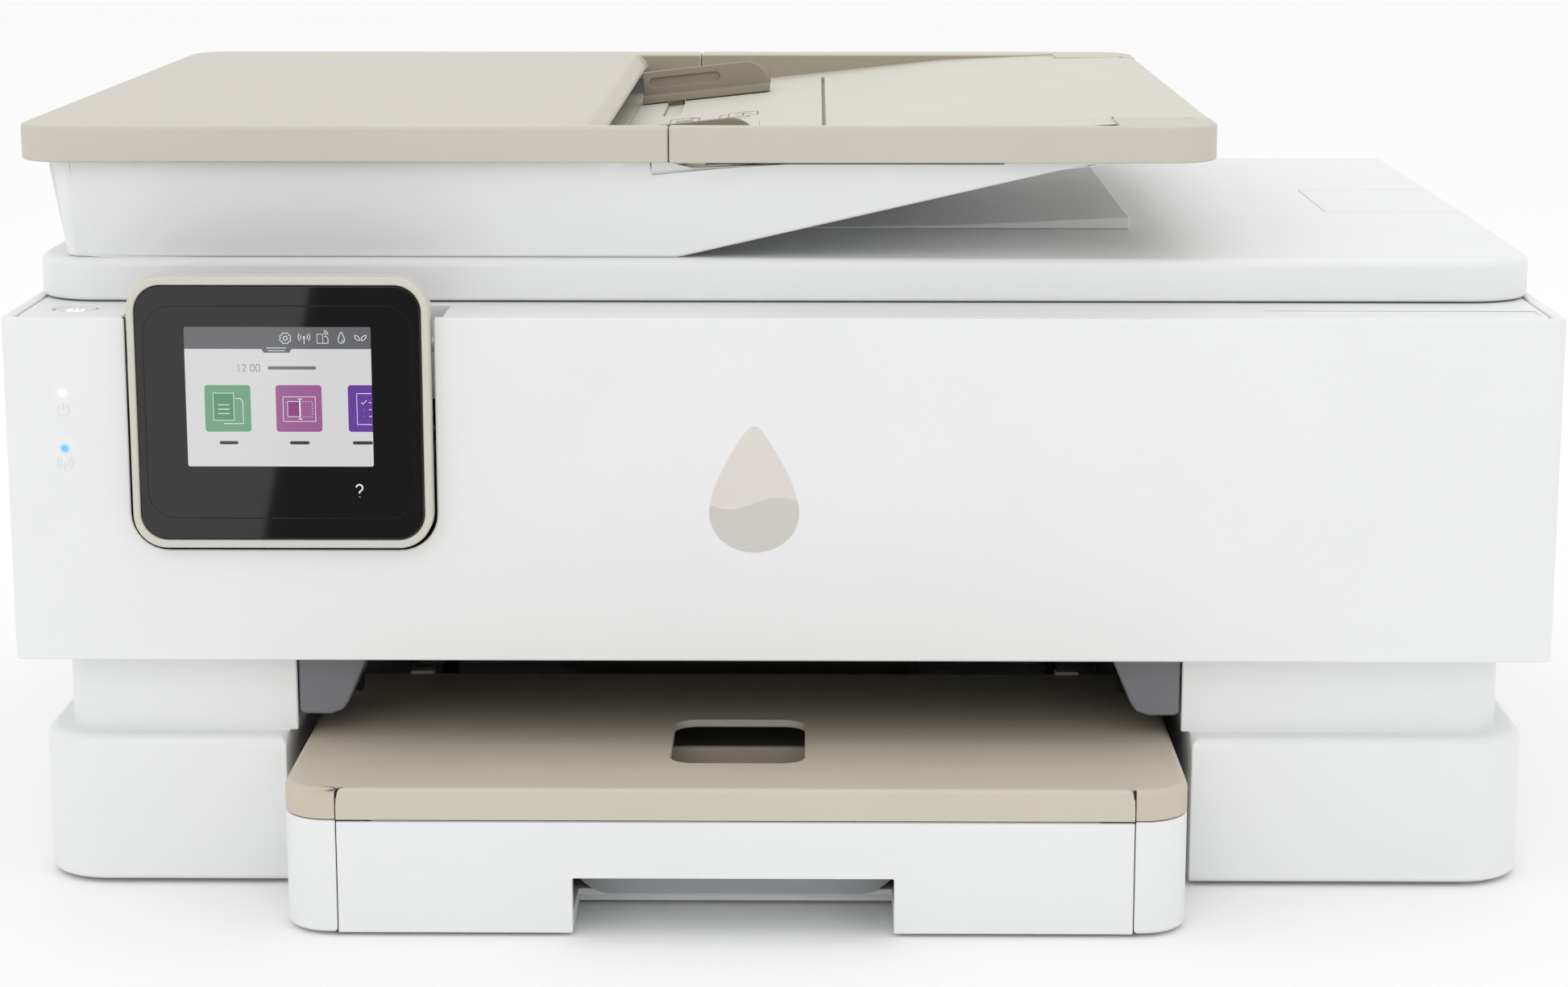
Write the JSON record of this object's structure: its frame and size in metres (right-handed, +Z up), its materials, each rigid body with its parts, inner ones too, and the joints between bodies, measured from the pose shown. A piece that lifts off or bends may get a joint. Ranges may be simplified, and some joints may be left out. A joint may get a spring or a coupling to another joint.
{
  "type": "inkjet printer",
  "caption": "All-in-one inkjet printer with lifting scanner unit, lid with document feeder, tilting touch panel and front paper tray.",
  "frame": {"origin": "on the ground, under the middle of the printer's overall box", "axes": "+X to the printer's right as seen from the front, +Y from the front to the back, +Z up"},
  "size_m": [0.46, 0.383, 0.2304],
  "materials": {
    "white_plastic": "fine matte moulded",
    "beige_plastic": "fine matte moulded, warm light beige",
    "grey_plastic": "satin mid grey",
    "black_plastic": "matte black",
    "dark_plastic": "satin dark grey",
    "taupe_plastic": "matte taupe",
    "rubber": "matte",
    "zinc_steel": "zinc plated sheet",
    "polished_steel": "ground and polished",
    "screw_steel": "zinc plated",
    "circuit_board": "green solder mask",
    "pale_gear": "natural acetal",
    "panel_glass": "gloss black",
    "display": "lit screen",
    "light": "lit",
    "clear_glass": "clear float glass",
    "pad_foam": "white sheet over foam",
    "button_white": "satin white",
    "black_ink": "satin black",
    "colour_ink": "satin dark grey"
  },
  "bodies": {
    "printer_base": {"base_housing": "white_plastic", "upper_housing": "white_plastic", "rear_cover": "white_plastic", "rubber_feet": "rubber", "left_bay_guide": "grey_plastic", "right_bay_guide": "grey_plastic", "bay_liner": "black_plastic", "chassis_frame": "zinc_steel", "carriage_rod": "polished_steel", "platen": "black_plastic", "service_station": "dark_plastic", "main_board": "circuit_board", "power_supply": "dark_plastic", "power_inlet": "black_plastic", "usb_port": "zinc_steel", "status_lights": "light", "carriage_motor": "polished_steel", "feed_motor": "polished_steel", "access_hinges": "dark_plastic", "housing_screws": "screw_steel", "carriage_belt": "rubber"},
    "carriage": {"ink_carriage": "dark_plastic", "black_cartridge": "black_ink", "colour_cartridge": "colour_ink"},
    "drive_pulley": {"drive_pulley": "pale_gear"},
    "idler_pulley": {"idler_pulley": "pale_gear"},
    "feed_roller": {"feed_roller": "dark_plastic"},
    "output_roller": {"output_roller": "dark_plastic"},
    "motor_pinion": {"motor_pinion": "pale_gear"},
    "pickup_arm": {"pickup_arm": "dark_plastic"},
    "pickup_roller": {"pickup_roller": "rubber"},
    "control_panel": {"panel_frame": "beige_plastic", "panel_glass": "panel_glass", "panel_display": "display", "panel_back": "white_plastic"},
    "scanner_unit": {"scanner_bed": "white_plastic", "scanner_glass": "clear_glass", "scan_rail": "polished_steel", "lid_hinges": "white_plastic"},
    "power_button": {"power_button": "button_white"},
    "scan_bar": {"scan_bar": "dark_plastic"},
    "scanner_lid": {"scanner_lid": "white_plastic", "lid_pad": "pad_foam", "output_ramp": "white_plastic", "feeder_base": "white_plastic", "feeder_tray": "beige_plastic"},
    "feeder_cover": {"feeder_cover": "beige_plastic"},
    "feeder_pick_roller": {"feeder_pick_roller": "rubber"},
    "feeder_drive_roller": {"feeder_drive_roller": "rubber"},
    "tray_flap": {"tray_flap": "beige_plastic"},
    "rear_feed_guide": {"rear_feed_guide": "taupe_plastic"},
    "front_feed_guide": {"front_feed_guide": "taupe_plastic"},
    "paper_tray": {"paper_tray": "white_plastic", "output_cover": "beige_plastic"},
    "tray_extension": {"tray_extension": "white_plastic"},
    "photo_tray": {"photo_tray": "taupe_plastic"},
    "left_width_guide": {"left_width_guide": "dark_plastic"},
    "right_width_guide": {"right_width_guide": "dark_plastic"},
    "length_guide": {"length_guide": "dark_plastic"}
  },
  "joints": [
    {"name": "access_lift", "type": "hinge", "parent": "printer_base", "child": "scanner_unit", "pos_m": [0, 0.1805, 0.151], "axis": [-1, 0, 0], "range_deg": [0, 35]},
    {"name": "lid_lift", "type": "hinge", "parent": "scanner_unit", "child": "scanner_lid", "pos_m": [0, 0.18205, 0.18195], "axis": [-1, 0, 0], "range_deg": [0, 75]},
    {"name": "feeder_cover_lift", "type": "hinge", "parent": "scanner_lid", "child": "feeder_cover", "pos_m": [-0.221, 0, 0.22], "axis": [0, -1, 0], "range_deg": [0, 70]},
    {"name": "flap_fold", "type": "hinge", "parent": "scanner_lid", "child": "tray_flap", "pos_m": [0.125, 0, 0.2273], "axis": [0, 1, 0], "range_deg": [0, 165]},
    {"name": "panel_tilt", "type": "hinge", "parent": "printer_base", "child": "control_panel", "pos_m": [-0.1475, -0.1405, 0.166], "axis": [-1, 0, 0], "range_deg": [0, 45]},
    {"name": "power_press", "type": "slide", "parent": "scanner_unit", "child": "power_button", "axis": [0, 0, -1], "range_m": [0, 0.001], "stiffness_N_per_m": 400, "springref_m": -0.001},
    {"name": "scan_travel", "type": "slide", "parent": "scanner_unit", "child": "scan_bar", "axis": [1, 0, 0], "range_m": [0, 0.34]},
    {"name": "rear_guide_slide", "type": "slide", "parent": "scanner_lid", "child": "rear_feed_guide", "axis": [0, -1, 0], "range_m": [0, 0.038]},
    {"name": "front_guide_slide", "type": "slide", "parent": "scanner_lid", "child": "front_feed_guide", "axis": [0, -1, 0], "range_m": [-0.038, 0]},
    {"name": "feeder_drive_spin", "type": "hinge", "parent": "scanner_lid", "child": "feeder_drive_roller", "pos_m": [-0.113, 0, 0.2054], "axis": [0, 1, 0], "continuous": true},
    {"name": "feeder_pick_spin", "type": "hinge", "parent": "feeder_cover", "child": "feeder_pick_roller", "pos_m": [-0.079, 0, 0.218], "axis": [0, 1, 0], "continuous": true},
    {"name": "carriage_travel", "type": "slide", "parent": "printer_base", "child": "carriage", "axis": [-1, 0, 0], "range_m": [0, 0.27]},
    {"name": "drive_pulley_spin", "type": "hinge", "parent": "printer_base", "child": "drive_pulley", "pos_m": [0.185, 0.0725, 0.105], "axis": [0, 1, 0], "continuous": true},
    {"name": "idler_pulley_spin", "type": "hinge", "parent": "printer_base", "child": "idler_pulley", "pos_m": [-0.189, 0.0725, 0.105], "axis": [0, 1, 0], "continuous": true},
    {"name": "feed_spin", "type": "hinge", "parent": "printer_base", "child": "feed_roller", "pos_m": [0, 0.0445, 0.058], "axis": [1, 0, 0], "continuous": true},
    {"name": "output_spin", "type": "hinge", "parent": "printer_base", "child": "output_roller", "pos_m": [0, -0.0525, 0.057], "axis": [1, 0, 0], "continuous": true},
    {"name": "pinion_spin", "type": "hinge", "parent": "printer_base", "child": "motor_pinion", "pos_m": [0.204, 0.0445, 0.02775], "axis": [1, 0, 0], "continuous": true},
    {"name": "pickup_arm_swing", "type": "hinge", "parent": "printer_base", "child": "pickup_arm", "pos_m": [-0.0132, 0.0205, 0.049], "axis": [-1, 0, 0], "range_deg": [0, 8]},
    {"name": "pickup_spin", "type": "hinge", "parent": "pickup_arm", "child": "pickup_roller", "pos_m": [-0.0132, 0.0705, 0.029], "axis": [1, 0, 0], "continuous": true},
    {"name": "tray_slide", "type": "slide", "parent": "printer_base", "child": "paper_tray", "axis": [0, -1, 0], "range_m": [0, 0.24]},
    {"name": "extension_slide", "type": "slide", "parent": "paper_tray", "child": "tray_extension", "axis": [0, -1, 0], "range_m": [0, 0.06]},
    {"name": "photo_tray_slide", "type": "slide", "parent": "paper_tray", "child": "photo_tray", "axis": [0, 1, 0], "range_m": [0, 0.024]},
    {"name": "left_guide_slide", "type": "slide", "parent": "paper_tray", "child": "left_width_guide", "axis": [1, 0, 0], "range_m": [0, 0.05]},
    {"name": "right_guide_slide", "type": "slide", "parent": "paper_tray", "child": "right_width_guide", "axis": [1, 0, 0], "range_m": [-0.05, 0]},
    {"name": "length_guide_slide", "type": "slide", "parent": "paper_tray", "child": "length_guide", "axis": [0, 1, 0], "range_m": [0, 0.05]}
  ],
  "couplings": [
    {"joint": "front_guide_slide", "follows": "rear_guide_slide", "ratio": -1},
    {"joint": "feeder_pick_spin", "follows": "feeder_drive_spin", "ratio": 1.2857},
    {"joint": "drive_pulley_spin", "follows": "carriage_travel", "rad_per_m": -166.67},
    {"joint": "idler_pulley_spin", "follows": "carriage_travel", "rad_per_m": -166.67},
    {"joint": "output_spin", "follows": "feed_spin", "ratio": 1.1667},
    {"joint": "pinion_spin", "follows": "feed_spin", "ratio": -4},
    {"joint": "pickup_spin", "follows": "feed_spin", "ratio": 0.7778},
    {"joint": "right_guide_slide", "follows": "left_guide_slide", "ratio": -1}
  ]
}
